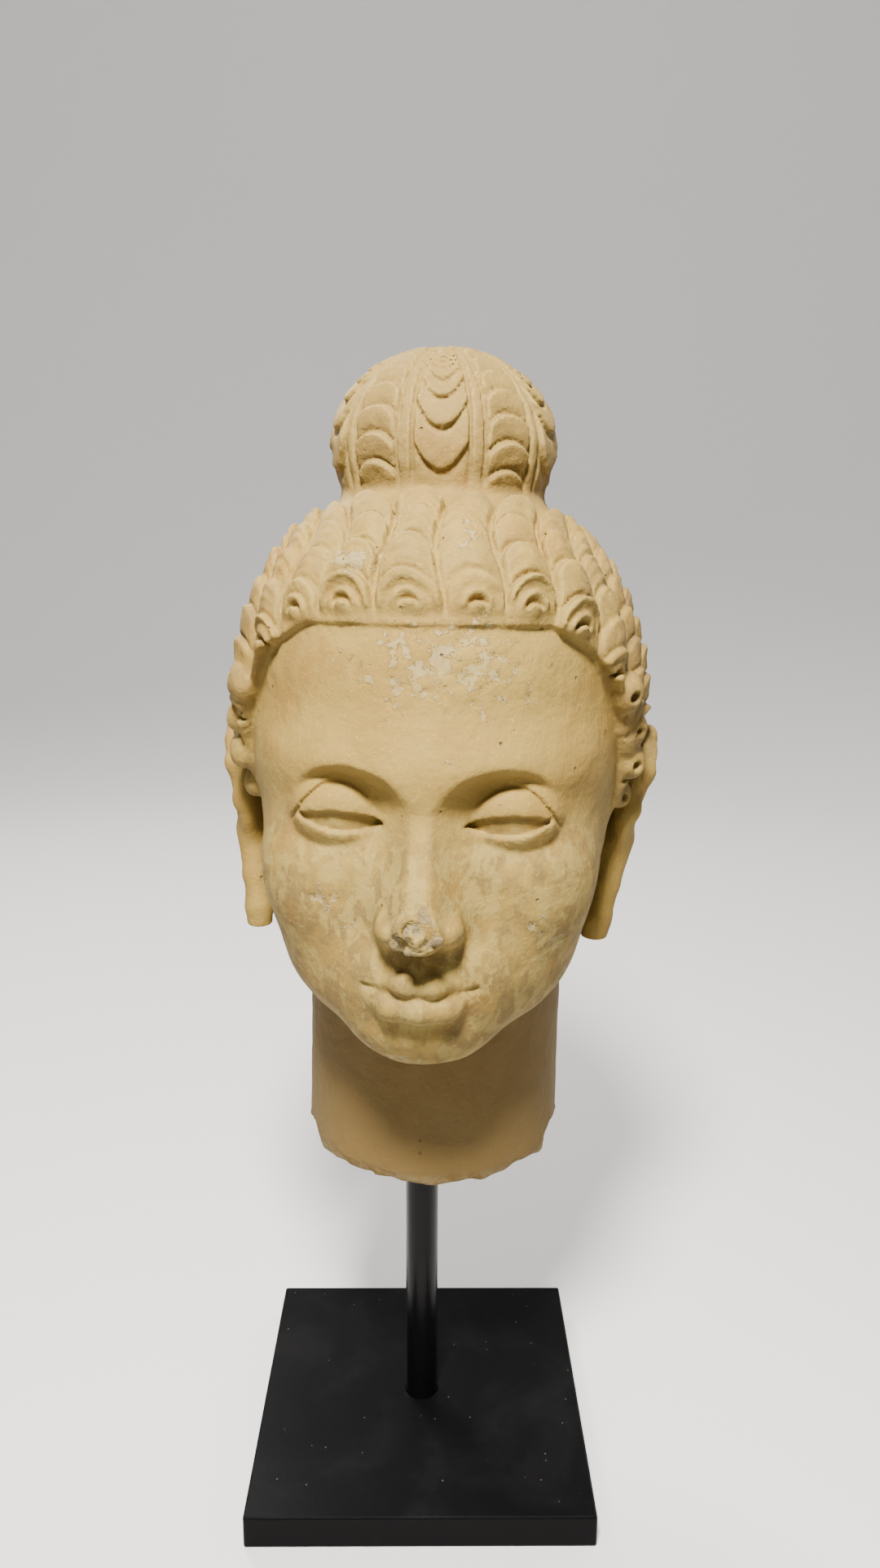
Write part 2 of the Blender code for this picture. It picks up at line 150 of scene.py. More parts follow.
# The picture's frame, its focal length in its own pixels, and the camera's place and turn
FRAME_HEIGHT = 1924
FOCAL_PIXELS = 1392.5
SENSOR = 36.0
CAMERA_AT = (0.002, -0.4024, 0.3559)
CAMERA_PITCH = 12.47
CAMERA_YAW = -0.60
CAMERA_ROLL = -0.32

# Colours of the stucco and of what lies on it
OCHRE = (0.68, 0.46, 0.092)
STRAW = (0.80, 0.59, 0.138)
CREAM = (0.94, 0.78, 0.240)
ASH = (0.30, 0.260, 0.105)
# the next colour paints shade onto the hair, most at its sides and behind
DULLED_AND_SHADED_HAIR = (0.19, 0.165, 0.080)
STAIN = (0.54, 0.28, 0.050)
# the next colour is dirt, and also painted shade in the grooves
DIRT_AND_SHADE = (0.105, 0.062, 0.016)
SLIP = (0.98, 0.88, 0.480)
# the next two colours are the neck's brown, darkened further as painted shade
NECK_BROWN_AND_SHADE = (0.085, 0.077, 0.048)
NECK_PALE_BROWN_AND_SHADE = (0.135, 0.118, 0.068)
BREAK = (0.72, 0.68, 0.46)

# Waves of the stucco's noises and the spacing of its pits, in metres
BROAD_WAVE = 0.045
MIDDLE_WAVE = 0.014
SMALL_WAVE = 0.0045
GRAIN_WAVE = 0.0011
STAIN_WAVE = 0.030
MOTTLE_WAVE = 0.0060
FLAKE_WAVE = 0.0034
BREAK_WAVE = 0.0022
PIT_SPACING = 0.0060
STUCCO_RELIEF = 0.0011

# Colours of the black paint, the dust on it and the floor
BLACK = (0.002, 0.002, 0.0025)
DUST = (0.16, 0.15, 0.135)
FLOOR = (0.60, 0.596, 0.588)

# The paint's waves and the spacing of its dust specks, in metres
SMEAR_WAVE = 0.035
PAINT_WAVE = 0.0016
SPECK_SPACING = 0.0028
PAINT_RELIEF = 0.00006

# Roughness, how much smears add to it, and gloss of the paint on the post and on the plate
POST_PAINT = (0.16, 0.14, 0.12)
PLATE_PAINT = (0.26, 0.22, 0.05)

# The floor's flat middle, its sweep up and its wall, in metres
FLOOR_FLAT = 1.2
SWEEP = 1.6
SWEEP_STEPS = 24
WALL_TOP = 3.4
FLOOR_SIDES = 96

# The lights: name, place, what each is aimed at, size, power in watts and colour
HEAD_MIDDLE = (0, 0, 0.28)
LIGHTS = (
    ("key", (-0.06, -0.44, 0.84), HEAD_MIDDLE, 0.15, 33, (1, 0.96, 0.88)),
    ("side", (-1.1, -0.3, 0.7), HEAD_MIDDLE, 0.5, 1.0, (1, 0.97, 0.93)),
    ("fill", (1.3, -0.5, 0.6), HEAD_MIDDLE, 1.0, 1.2, (0.97, 0.98, 1)),
    ("back_left", (-0.5, 0.75, 1.0), HEAD_MIDDLE, 0.35, 17, (1, 0.97, 0.93)),
    ("back_right", (1.1, 0.9, 1.0), HEAD_MIDDLE, 0.9, 9, (1, 1, 1)),
    ("wall", (0, 0.6, 2.2), (0, 2.8, 0.9), 1.4, 35, (1, 1, 1)),
)
STUDIO_COLOUR = (0.86, 0.87, 0.89)
STUDIO_STRENGTH = 0.20


def size_of(v):
    return np.sqrt(np.einsum("ij,ij->i", v, v))


def join(a, b, soft):
    """The union of two forms, filled in a fillet about as wide as soft."""
    h = np.clip(0.5 + 0.5 * (b - a) / soft, 0, 1)
    return b + (a - b) * h - soft * h * (1 - h)


def meet(a, b, soft):
    """What two forms share, its edge rounded over a width of soft."""
    return -join(-a, -b, soft)


def carve(a, b, soft):
    """Form a without form b."""
    return -join(-a, b, soft)


def egg(p, centre, radii):
    """An ellipsoid."""
    q = (p - np.float32(centre)) / np.float32(radii)
    k = size_of(q)
    return k * (k - 1) / np.maximum(size_of(q / np.float32(radii)), 1e-6)


def strand(p, stations, soft=2.0):
    """A round bar through stations (x, y, z, radius)."""
    form = None
    for (*a, ra), (*b, rb) in zip(stations, stations[1:]):
        a, b = np.float32(a), np.float32(b)
        t = np.clip((p - a) @ (b - a) / ((b - a) @ (b - a)), 0, 1)
        bar = size_of(p - a - t[:, None] * (b - a)) - (ra + (rb - ra) * t)
        form = bar if form is None else join(form, bar, soft)
    return form


def smooth_step(low, high, x):
    t = np.clip((x - low) / (high - low), 0, 1)
    return t * t * (3 - 2 * t)


def mirrored(p):
    """The points with both halves of the head folded onto +X."""
    q = p.copy()
    q[:, 0] = np.abs(q[:, 0])
    return q


def about_upright(p, middle, degrees):
    """The points turned about an upright axis through middle, which lets a form turn the other way."""
    c, s = math.cos(math.radians(degrees)), math.sin(math.radians(degrees))
    x, y = p[:, 0] - np.float32(middle[0]), p[:, 1] - np.float32(middle[1])
    return np.stack((middle[0] + c * x + s * y, middle[1] - s * x + c * y, p[:, 2]), 1)


def cranium(p):
    return join(egg(p, (0, 8, 163), (65, 76, 72)), egg(p, (0, -14, 182), (53, 53, 50)), 12)


def skull_and_neck(p):
    q = mirrored(p)
    form = join(cranium(p), egg(p, (0, -12, 119), (57, 60, 62)), 18)
    form = join(form, egg(p, (0, -32, 88), (47, 43, 32)), 14)
    form = join(form, egg(q, (30, -43, 115), (22, 22, 22)), 14)
    form = join(form, egg(p, (0, -60, 71), (21, 17, 14)), 12)
    return join(form, strand(p, NECK_BAR), 6)


def eyes(p, form):
    q = mirrored(p)
    x, y, z = q.T
    form = join(form, egg(p, (0, -27, BROW + 2), (52, 46, 16)), 15)
    socket = egg(about_upright(q, (27.5, -80), 24), (27.5, -80, EYE_LINE + 1.5), (25, 19.5, 14.5))
    form = carve(form, socket, np.interp(z, (EYE_LINE - 10, EYE_LINE + 7), (10, 0.8)))
    # the eye's opening lies between two bows that meet at its corners
    centre = (25.5, -53.0, EYE_LINE - 2)
    across = (x - centre[0]) / 14.0
    bow = 1 - across * across
    corner = EYE_LINE - 3.5 + 0.9 * across
    opening = np.maximum(z - (corner + 2.8 * bow), corner - 4.0 * bow - z)
    opening = np.maximum(opening, y - centre[1])
    lid = egg(q, centre, (17.5, 15.9, 15.4))
    fold = np.hypot(lid * 0.6, z - (corner + 11.0 * bow)) - 1.0
    form = join(form, carve(lid, fold, 1.2), 1.4)
    form = carve(form, opening, 0.4)
    return join(form, egg(q, centre, (16.6, 13.5, 13.2)), 0.4)


def nose(p, form):
    q = mirrored(p)
    x, y, z = q.T
    ridge = np.interp(z, (NOSE_BASE + 3, NOSE_BASE + 9, BROW - 8, BROW + 6), (-90, -90, -73.5, -74))
    half = np.interp(z, (NOSE_BASE, BROW - 10, BROW + 4), (4.0, 2.6, 5.0))
    flank = (x - half - 0.66 * (y - ridge)) / math.hypot(1, 0.66)
    bridge = meet(flank, (ridge - y) * 0.92, 1.6)
    bridge = meet(bridge, z - BROW, 8.0)
    bridge = meet(bridge, NOSE_BASE + 1.5 - z, 3.0)
    bridge = meet(bridge, y + 58, 4.0)
    form = join(form, bridge, 3.5)
    form = join(form, egg(p, (0, -86.5, NOSE_BASE + 5.5), (7.2, 6.6, 5.8)), 3)
    form = join(form, egg(q, (8.6, -78.5, NOSE_BASE + 4.2), (4.7, 7.8, 4.8)), 2.6)
    crease = strand(q, ((15.6, -75, NOSE_BASE + 1.5, 1.0), (14.2, -77.5, NOSE_BASE + 9.5, 0.7)))
    form = carve(form, crease, 2.2)
    nostril = egg(q, (5.4, -82.5, NOSE_BASE - 0.8), (2.7, 4.0, 3.0))
    return carve(form, nostril, 1.2)


def mouth(p, form):
    q = mirrored(p)
    form = join(form, egg(p, (0, -60, MOUTH), (24, 20, 17)), 12)
    sulcus = strand(q, ((0, -84.4, MOUTH - 12.5, 2.6), (11, -80.6, MOUTH - 11.5, 2.0)))
    form = carve(form, sulcus, 8)
    upper = (
        (0, -80.2, MOUTH + 1.8, 3.0),
        (4.5, -80.6, MOUTH + 2.8, 3.4),
        (18, -72.6, MOUTH + 2.0, 1.6),
    )
    lower = (
        (0, -80.0, MOUTH - 5.4, 4.8),
        (8, -78.6, MOUTH - 4.8, 4.4),
        (16, -73.4, MOUTH - 1.6, 2.4),
    )
    parting = (
        (0, -85.2, MOUTH - 1.8, 1.1),
        (6, -84.2, MOUTH - 0.9, 1.0),
        (17.5, -75.8, MOUTH + 0.4, 0.8),
    )
    form = join(form, strand(q, upper, 2.5), 0.9)
    form = join(form, strand(q, lower, 2.5), 1.0)
    form = carve(form, strand(q, parting, 1.0), 1.2)
    philtrum = strand(p, ((0, -84.5, MOUTH + 12, 1.6), (0, -84.2, MOUTH + 6, 2.0)))
    return carve(form, philtrum, 3)


def ears(p, form):
    q = mirrored(p)
    # the ear on +X lies closer to the jaw, the more so the lower it hangs
    q[:, 0] += np.where(p[:, 0] > 0, 0.13 * np.clip(136 - p[:, 2], 0, 62), 0)
    ear = egg(q, (69, 9, 128), (5.5, 13, 21))
    lobe = strand(q, ((70, 8, 112, 4.6), (67.5, 4, 96, 4.2), (66, 2, 84, 4.8), (65.5, 2, 74, 4.8)))
    ear = join(ear, lobe, 4)
    web = egg(q, (60, 15, 98), (7, 9, 24))
    ear = join(ear, web, 7)
    bowl = egg(q, (78, 11, 131), (9, 8.5, 15))
    ear = carve(ear, bowl, 1.5)
    front = ((72.4, 2, 130, 2.2), (73.4, 1.5, 139, 2.7), (73.8, 5, 146.5, 3.1), (74.0, 11, 150.5, 3.2))
    back = ((74.2, 17.5, 149, 3.0), (74.2, 22, 142, 2.8), (73.8, 23, 132, 2.7), (73, 20.5, 119, 2.6))
    ear = join(ear, strand(q, (*front, *back, (71.2, 14.5, 107, 2.6)), 4), 1.5)
    ear = join(ear, strand(q, ((72, 15.5, 141, 1.6), (72.6, 15.5, 128, 1.9), (71, 9, 113, 2.2))), 1.6)
    ear = join(ear, egg(q, (70.8, -1, 126), (3.2, 3.4, 4.8)), 2)
    ear = meet(ear, 77 - q[:, 2], 1.0)
    return join(form, ear, 3)


def rolls(level, period):
    """The height, from 0 to 1, of rolls stacked along a level, each rising slowly to a sharp cut."""
    w = level / period
    w = w - np.floor(w)
    return smooth_step(0, 0.14, w) * (0.40 + 0.60 * w / 0.84) * (1 - smooth_step(0.84, 1.0, w))


def lock_end(across, up, number, drilled, rimmed):
    """A lock's curled end: an arched rim, a drilled crescent under it and a tongue that fills it.

    Returns its height and how much of the lock's rolls shows beside it.
    """
    above = np.maximum(up - 3.4 - 0.8 * np.sin(3 * number), 0)
    out = np.hypot(across, above) * (1.18 + 0.1 * np.sin(5 * number))
    hollow = smooth_step(2.0, 2.7, out) * (1 - smooth_step(3.5, 4.4, out)) * smooth_step(3.2, 5.8, up)
    tongue = (1 - smooth_step(1.5, 2.6, out)) * smooth_step(0.8, 3.2, up)
    rims = np.exp(-(((out - 5.4) / 0.8) ** 2)) + 0.9 * np.exp(-(((out - 8.0) / 0.8) ** 2))
    rims = rims * rimmed * smooth_step(2, 6, up)
    return 0.7 * tongue + 1.3 * rims - drilled * hollow, smooth_step(8.2, 9.4, out)


def around_head(p):
    """Turn from the face's middle, distance from the head's axis and the way down from its crown."""
    x, y, z = (p - np.float32(HAIR_CENTRE)).T
    around = np.hypot(x, y)
    return np.arctan2(x, -y), around, np.arctan2(around, z) * HAIR_REACH


def lock_place(turn, around, down):
    """Which lock a place is on, how far across it from -1 to 1, how far up it, and how broad it is."""
    # the front locks stay broad up to the topknot, so the others are swept back from it
    swept = 0.5 * (1 - smooth_step(34, 62, around))
    strayed = turn - swept * np.sin(turn) + 0.025 * np.sin(down / 8 + 2 * np.sin(3 * turn))
    number = np.floor((strayed - LOCK_SHIFT) / LOCK_TURN)
    middle = (number + 0.5) * LOCK_TURN + LOCK_SHIFT
    # a lock's rolls are counted up from where its middle meets the hairline
    line = np.interp(np.abs(middle), LINE_TURNS, LINE_LEVELS) - HAIR_CENTRE[2]
    up = np.arccos(np.clip(line / (HAIR_REACH + 2), -1, 1)) * HAIR_REACH - down
    breadth = around / (1 - swept * np.cos(turn)) * LOCK_TURN
    return number, (strayed - middle) / (LOCK_TURN / 2), up, breadth


def arch(u):
    """How far an arched roll droops from its top, at u across the lock."""
    return 9 * (1 - np.sqrt(1 - 0.95 * np.clip(np.abs(u), 0, 1) ** 2))


def lock_relief(turn, around, down):
    """The height of the locks over the hair's ground."""
    number, u, up, breadth = lock_place(turn, around, down)
    side = smooth_step(math.radians(25), math.radians(55), np.abs(turn))
    front = 1 - smooth_step(math.radians(40), math.radians(50), np.abs(turn))
    back = smooth_step(math.radians(100), math.radians(125), np.abs(turn))
    bend = arch(u)
    # the middle locks of the brow are worn smoother than the rest
    crisp = 0.95 - 0.3 * np.cos(1.9 * number)
    jitter = 1.5 * np.sin(2.3 * number + 0.7) * smooth_step(14, 30, up + bend)
    stacked = rolls(up + bend - 3.6 + jitter, ROLL) * (3.0 - 1.2 * side) * crisp
    end, beside = lock_end(u * breadth / 2, up, number, 1.6 + 2.1 * side, front)
    fade = 1 - smooth_step(0.8, 1.0, np.abs(u))
    low = 1 - front * (1 - smooth_step(0.8, 5.0, up))
    bulge = np.clip(breadth * 0.175, 0.6, 3.6) * np.maximum(np.cos(u * math.pi / 2), 0) ** 1.2
    relief = bulge * (0.15 + 0.85 * low) + (stacked * beside + end) * fade * low
    relief = relief * (1 - 0.3 * back)
    # a lock's upper end is an arch under the topknot's waist
    return relief * smooth_step(0, 3.5 + 5 * side, around - 37 - bend * (1 - 0.6 * side))


def below_hairline(turn, around, level):
    """How far a level lies below the hairline; negative above it."""
    step = math.radians(1.5)
    about = (np.abs(turn) + d for d in (-step, 0, step))
    before, line, after = (np.interp(t, LINE_TURNS, LINE_LEVELS) for t in about)
    slope = (after - before) / (2 * step * np.maximum(around, 30))
    return (line - level) / np.sqrt(1 + slope**2)


def hair(p, form):
    turn, around, down = around_head(p)
    thick = np.interp(np.abs(turn), np.radians((0, 30, 60, 90, 180)), (1.0, 1.6, 3.2, 3.8, 5.5))
    cap = cranium(p) - thick - lock_relief(turn, around, down)
    form = join(form, meet(cap, below_hairline(turn, around, p[:, 2]), 1.2), 1.5)
    return temple_curls(p, form)


def temple_curls(p, form):
    """Small curls down the edge of the hair in front of the ears; those on +X have a drilled eye."""
    q = mirrored(p)
    for level, beyond, size in CURLS:
        turn = np.interp(-level, -np.float32(LINE_LEVELS[:6]), LINE_TURNS[:6]) + math.radians(beyond)
        girth = math.sqrt(1 - ((level - HAIR_CENTRE[2]) / HAIR_REACH) ** 2)
        reach = girth / math.hypot(math.sin(turn) / 70, math.cos(turn) / 81)
        centre = np.float32((reach * math.sin(turn), 8 - reach * math.cos(turn), level))
        form = join(form, egg(q, centre, (0.85 * size, size, 1.05 * size)), 1.5)
        outwards = np.float32((0.45, -0.87, -0.2))
        inner = (*(centre + 0.62 * size * outwards), 0.24 * size)
        outer = (*(centre + 9 * outwards), 0.42 * size)
        form = carve(form, strand(p, (inner, outer)), 0.8)
    return form


def topknot(p, form):
    x, y, z = (p - np.float32(KNOT_CENTRE)).T
    turn = np.arctan2(x, -y) - KNOT_SHIFT
    column = math.pi / TONGUES
    number = np.round(turn / column)
    across = np.hypot(x, y)
    down = np.arctan2(across, z) * 33.0
    tongue = number % 2 == 0
    half = np.where(tongue, 14.0, 12.8)
    u = np.degrees(turn - number * column) / half
    inside = 1 - smooth_step(0.90, 1.0, np.abs(u))
    # the hanging tongues grow longer downwards
    hung = rolls(np.log(np.maximum(down - 14.4 + 9.0 * u * u, 2) / 18.6) / math.log(1.35) + 0.92, 1.0)
    bent = 7.0 * (1 - np.sqrt(1 - 0.9 * np.clip(np.abs(u), 0, 1) ** 2))
    arched = rolls(bent - down + 3.3 + 1.3 * np.sin(2 * number), 7.8)
    relief = np.where(tongue, 2.6 * hung, 2.8 * arched) * inside
    relief = relief * smooth_step(5, 14, down) * (1 - smooth_step(62, 68, down))
    seam = np.exp(-(((np.abs(u) - 1.07) / 0.06) ** 2)) * smooth_step(8, 18, across)
    strip = smooth_step(1.09, 1.16, np.abs(u))
    relief = relief + 1.5 * strip - 1.2 * seam * (1 - smooth_step(64, 70, down))
    dome = egg(p, KNOT_CENTRE, KNOT_RADII) - relief
    waist = strand(p, ((0, 6, 215, 34.0), (0, 6, 246, 34.0)))
    return join(form, join(dome, waist, 4), 5)


def breaks(p, form):
    """The neck's broken underside and its chips, the nose's chipped tip and the topknot's knocks."""
    x, y, z = p.T
    rough = 0.8 * np.sin(x * 0.21 + 1) * np.sin(y * 0.17) + 0.5 * np.sin(x * 0.53) * np.sin(y * 0.47)
    form = meet(form, rough - z, 1.2)
    for centre, radii in CHIPS:
        form = carve(form, egg(p, centre, radii), 1.0)
    return form


def head_field(p):
    form = skull_and_neck(p)
    form = eyes(p, form)
    form = nose(p, form)
    form = mouth(p, form)
    form = hair(p, form)
    form = ears(p, form)
    form = topknot(p, form)
    return breaks(p, form)


def sample(field, points):
    """The field at many points, worked out on all processors."""
    parts = np.array_split(points, max(1, len(points) // POINTS_AT_ONCE))
    with ThreadPoolExecutor() as pool:
        return np.concatenate(list(pool.map(field, parts)))


def skin_of(field, cell):
    """Points and quads of the surface where the field is zero, with only the blocks near it sampled."""
    low = np.float32(BLOCK_LOW)
    side = cell * BLOCK_CELLS
    count = np.ceil((np.float32(BLOCK_HIGH) - low) / side).astype(int)
    blocks = np.stack(np.meshgrid(*(np.arange(n) for n in count), indexing="ij"), -1).reshape(-1, 3)
    middles = sample(field, (low + (blocks + 0.5) * side).astype(np.float32))
    near = np.abs(middles) < side * math.sqrt(3) / 2 + FIELD_SLACK
    steps = np.stack(np.meshgrid(*[np.arange(BLOCK_CELLS)] * 3, indexing="ij"), -1).reshape(-1, 3)
    fine = (blocks[near][:, None] * BLOCK_CELLS + steps).reshape(-1, 3)
    values = np.repeat(np.sign(middles)[:, None] * 3 * cell, len(steps), 1)
    values[near] = sample(field, (low + fine * cell).astype(np.float32)).reshape(-1, len(steps))
    values = values.reshape(*count, *[BLOCK_CELLS] * 3).transpose(0, 3, 1, 4, 2, 5)
    grid = openvdb.FloatGrid(3 * cell)
    grid.copyFromArray(np.ascontiguousarray(values.reshape(count * BLOCK_CELLS), np.float32))
    points, quads = grid.convertToQuads(0.0)
    return low + points * cell, quads[:, ::-1]


def head_place():
    turned = Euler([math.radians(a) for a in (HEAD_NOD, HEAD_LEAN, HEAD_TURN)]).to_matrix().to_4x4()
    neck_underside = Vector((HEAD_SHIFT_X, HEAD_SHIFT_Y, PLATE_THICKNESS + POST_STANDING))
    return Matrix.Translation(neck_underside) @ turned


def neck_socket(p):
    """The round hole in the neck, with the post's axis brought into the head's own notches."""
    to_head = head_place().inverted()
    radius = (POST_DIAMETER / 2 + SEAT_GAP) / NOTCH
    ends = []
    for height in (PLATE_THICKNESS, PLATE_THICKNESS + POST_STANDING + POST_IN_NECK + SEAT_GAP):
        ends.append((*(to_head @ Vector((0, 0, height)) / NOTCH), radius))
    return strand(p, ends)


def bored_head(p):
    return carve(head_field(p), neck_socket(p), 0.2)


def largest_body(points, quads):
    """The points and quads of the largest connected skin, without the crumbs beside it."""
    edges = np.concatenate([quads[:, i : i + 2] for i in range(3)]).astype(np.int64)
    label = np.arange(len(points))
    while True:
        lower = np.minimum(label[edges[:, 0]], label[edges[:, 1]])
        joined = label.copy()
        np.minimum.at(joined, edges[:, 0], lower)
        np.minimum.at(joined, edges[:, 1], lower)
        joined = joined[joined]
        if np.array_equal(joined, label):
            break
        label = joined
    kept = label == np.bincount(label).argmax()
    place = np.cumsum(kept) - 1
    return points[kept], place[quads[kept[quads[:, 0]]]]


def scatter(cells, seed):
    """A number from -1 to 1 for each whole point."""
    mixed = cells @ np.int64([73856093, 19349663, 83492791]) + seed * 49979687
    mixed = (mixed ^ (mixed >> 13)) * 1274126177 & 0x7FFFFFFF
    mixed = (mixed ^ (mixed >> 16)) & 0xFFFF
    return mixed / 32767.5 - 1


def noise(p, length, octaves, seed):
    """Smooth noise, about -1 to 1, whose largest waves are as long as length."""
    total = 0
    for octave in range(octaves):
        q = p * (2**octave / length)
        cell = np.floor(q).astype(np.int64)
        t = q - cell
        t = t * t * (3 - 2 * t)
        wave = 0
        for corner in itertools.product((0, 1), repeat=3):
            share = np.prod(np.where(corner, t, 1 - t), 1)
            wave = wave + share * scatter(cell + np.int64(corner), seed + octave)
        total = total + wave * 0.5**octave
    return total


def near(p, centre, radii):
    """1 in the middle of a patch, falling to 0 towards its edge."""
    return np.clip(1 - size_of((p - np.float32(centre)) / np.float32(radii)), 0, 1)


def underside(p):
    """1 on the neck's broken underside."""
    return 1 - smooth_step(1.5, 4.0, p[:, 2])


def on_neck(p):
    """1 on the neck, falling to 0 where the jaw, the nape and the ears swell out of it."""
    off = np.abs(strand(p, NECK_BAR))
    return (1 - smooth_step(1.2, 5.0, off)) * (1 - smooth_step(CHIN + 24, CHIN + 36, p[:, 2]))


def on_cheeks(p):
    """1 on the face below the eyes, falling to 0 towards the eyes and the ears."""
    return (
        (1 - smooth_step(EYE_LINE - 16, EYE_LINE + 6, p[:, 2]))
        * smooth_step(CHIN - 12, CHIN - 4, p[:, 2])
        * (1 - smooth_step(-50, -8, p[:, 1]))
    )


def in_hair(p):
    """1 above the hairline."""
    turn, around, _ = around_head(p)
    return 1 - smooth_step(-2, 4, below_hairline(turn, around, p[:, 2]))


def hair_dulled_and_shaded(p):
    """How far the hair is dulled: a little all over it, and most at the sides and behind, where this is
    painted shade for the light falling off.
    """
    aside = np.maximum(smooth_step(34, 64, np.abs(p[:, 0])), 0.6 * smooth_step(-10, 30, p[:, 1]))
    return in_hair(p) * (0.4 + 0.6 * aside)


def nose_tip(p):
    """1 round the nose's broken tip."""
    return np.minimum(3 * near(p, (1, -91, NOSE_BASE + 7), (14, 10, 14)), 1)


def chipped(p):
    """1 where a chip has laid the stucco's inside bare."""
    bare = 0
    for centre, radii in CHIPS:
        away = np.abs(egg(p, centre, radii)) + 0.9 * noise(p, *CHIP_OUTLINE)
        bare = np.maximum(bare, 1 - smooth_step(0.6, 1.8, away))
    return bare


def combed(p):
    """Fine grooves that follow the arches of the front locks, fading out where these are worn."""
    turn, around, down = around_head(p)
    number, u, up, _ = lock_place(turn, around, down)
    shown = (1 - smooth_step(0.75, 0.95, np.abs(u))) * smooth_step(11, 14, up)
    shown = shown * smooth_step(38, 44, around)
    shown = shown * smooth_step(HAIRLINE, HAIRLINE + 6, p[:, 2])
    shown = shown * (1 - smooth_step(CROWN - 4, CROWN, p[:, 2]))
    worn = smooth_step(-0.5, 0.3, noise(p, *COMB_WEAR))
    return COMB_DEPTH * np.sin((up + arch(u)) * 2 * math.pi / COMB_SPACING + number) * shown * worn


def weathering(p):
    """How far the skin stands out of the smooth carving, in notches."""
    worked = 0.24 * noise(p, *WAVER) + (0.09 + 0.16 * in_hair(p)) * noise(p, *TOOLED)
    facets = 1.2 - 4.5 * np.abs(noise(p, *FACETS)) + 1.2 * noise(p, *FACET_GRAIN)
    crumbled = chipped(p) * (0.4 * noise(p, *CRUMBS) + 1.3 * facets * nose_tip(p))
    crumbled = crumbled + 0.4 * noise(p, *UNDERSIDE_CRUMBS) * underside(p)
    flaked = SLIP_THICKNESS * smooth_step(-0.04, 0.06, slip_cover(p))
    return worked + crumbled + flaked + combed(p)


def slip_cover(p):
    """Above 0 on the flakes of slip."""
    dense = np.maximum.reduce([share * near(p, centre, radii) for share, centre, radii in SLIP_PATCHES])
    return 0.34 * noise(p, *FLAKE_OUTLINE) + 0.7 * np.minimum(dense, 1) - 0.60


def growth(p, q):
    """How much the head's field grows from points p to points q."""
    return sample(head_field, q.astype(np.float32)) - sample(head_field, p.astype(np.float32))


def hollowness(p, normals, reach):
    """How far the skin round each point closes in over it, from about 0 where it is flat to 1."""
    return np.clip(1 - growth(p, p + normals * reach) / reach, -1, 1)


def fine_mesh():
    """The weathered skin in the head's own notches, brought down to its number of triangles."""
    points, quads = largest_body(*skin_of(bored_head, FINE_CELL))
    mesh = bpy.data.meshes.new("skin")
    mesh.from_pydata(points, [], quads)
    points = points.astype(np.float32)
    points += vectors_of(mesh.vertex_normals, "vector") * sample(weathering, points)[:, None]
    mesh.vertices.foreach_set("co", points.ravel())
    mesh.update()
    rough = bpy.data.objects.new("skin", mesh)
    bpy.context.scene.collection.objects.link(rough)
    fewer = rough.modifiers.new("Fewer faces", "DECIMATE")
    fewer.ratio = min(1.0, SKIN_TRIANGLES / (2 * len(quads)))
    shape = rough.evaluated_get(bpy.context.evaluated_depsgraph_get())
    made = bpy.data.meshes.new_from_object(shape)
    bpy.data.objects.remove(rough)
    return made


def vectors_of(collection, name):
    values = np.empty(len(collection) * 3, np.float32)
    collection.foreach_get(name, values)
    return values.reshape(-1, 3)


def mark(mesh, name, values):
    """Keeps one number a point on the mesh, for its material."""
    layer = mesh.attributes.new(name, "FLOAT", "POINT")
    layer.data.foreach_set("value", np.ascontiguousarray(values, np.float32))


def fitted(points, box):
    """The points drawn in, where they need it, so that they lie within the solid's box."""
    low, high = (np.array(corner) for corner in box)
    own_low, own_high = points.min(0), points.max(0)
    share = np.minimum(1, (high - low) / (own_high - own_low))
    return (low + high) / 2 + (points - (own_low + own_high) / 2) * share


def dressed_head():
    mesh = fine_mesh()
    points = vectors_of(mesh.vertices, "co")
    normals = vectors_of(mesh.vertex_normals, "vector")
    close = hollowness(points, normals, GROOVE_REACH)
    wide = hollowness(points, normals, HOLLOW_REACH)
    mark(mesh, "groove", np.clip(1.1 * close + 0.6 * wide, 0, 1))
    mark(mesh, "edge", np.clip(-hollowness(points, -normals, EDGE_REACH), 0, 1))
    bare = sample(chipped, points) * (0.25 + 0.75 * nose_tip(points))
    mark(mesh, "bare", np.maximum(0.5 * underside(points), bare))
    mark(mesh, "slip", sample(slip_cover, points))
    mark(mesh, "neck", on_neck(points))
    mark(mesh, "cheek", on_cheeks(points))
    mark(mesh, "hair", sample(hair_dulled_and_shaded, points))
    mark(mesh, "height", points[:, 2] / NOTCHES)
    place = np.array(head_place())
    world = points * NOTCH @ place[:3, :3].T + place[:3, 3]
    world = fitted(world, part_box("head"))
    mesh.vertices.foreach_set("co", world.astype(np.float32).ravel())
    mesh.shade_smooth()
    mesh.update()
    piece = bpy.data.objects.new("stucco_skin", mesh)
    bpy.context.scene.collection.objects.link(piece)
    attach(piece, "root")
    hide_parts("head")
    return piece


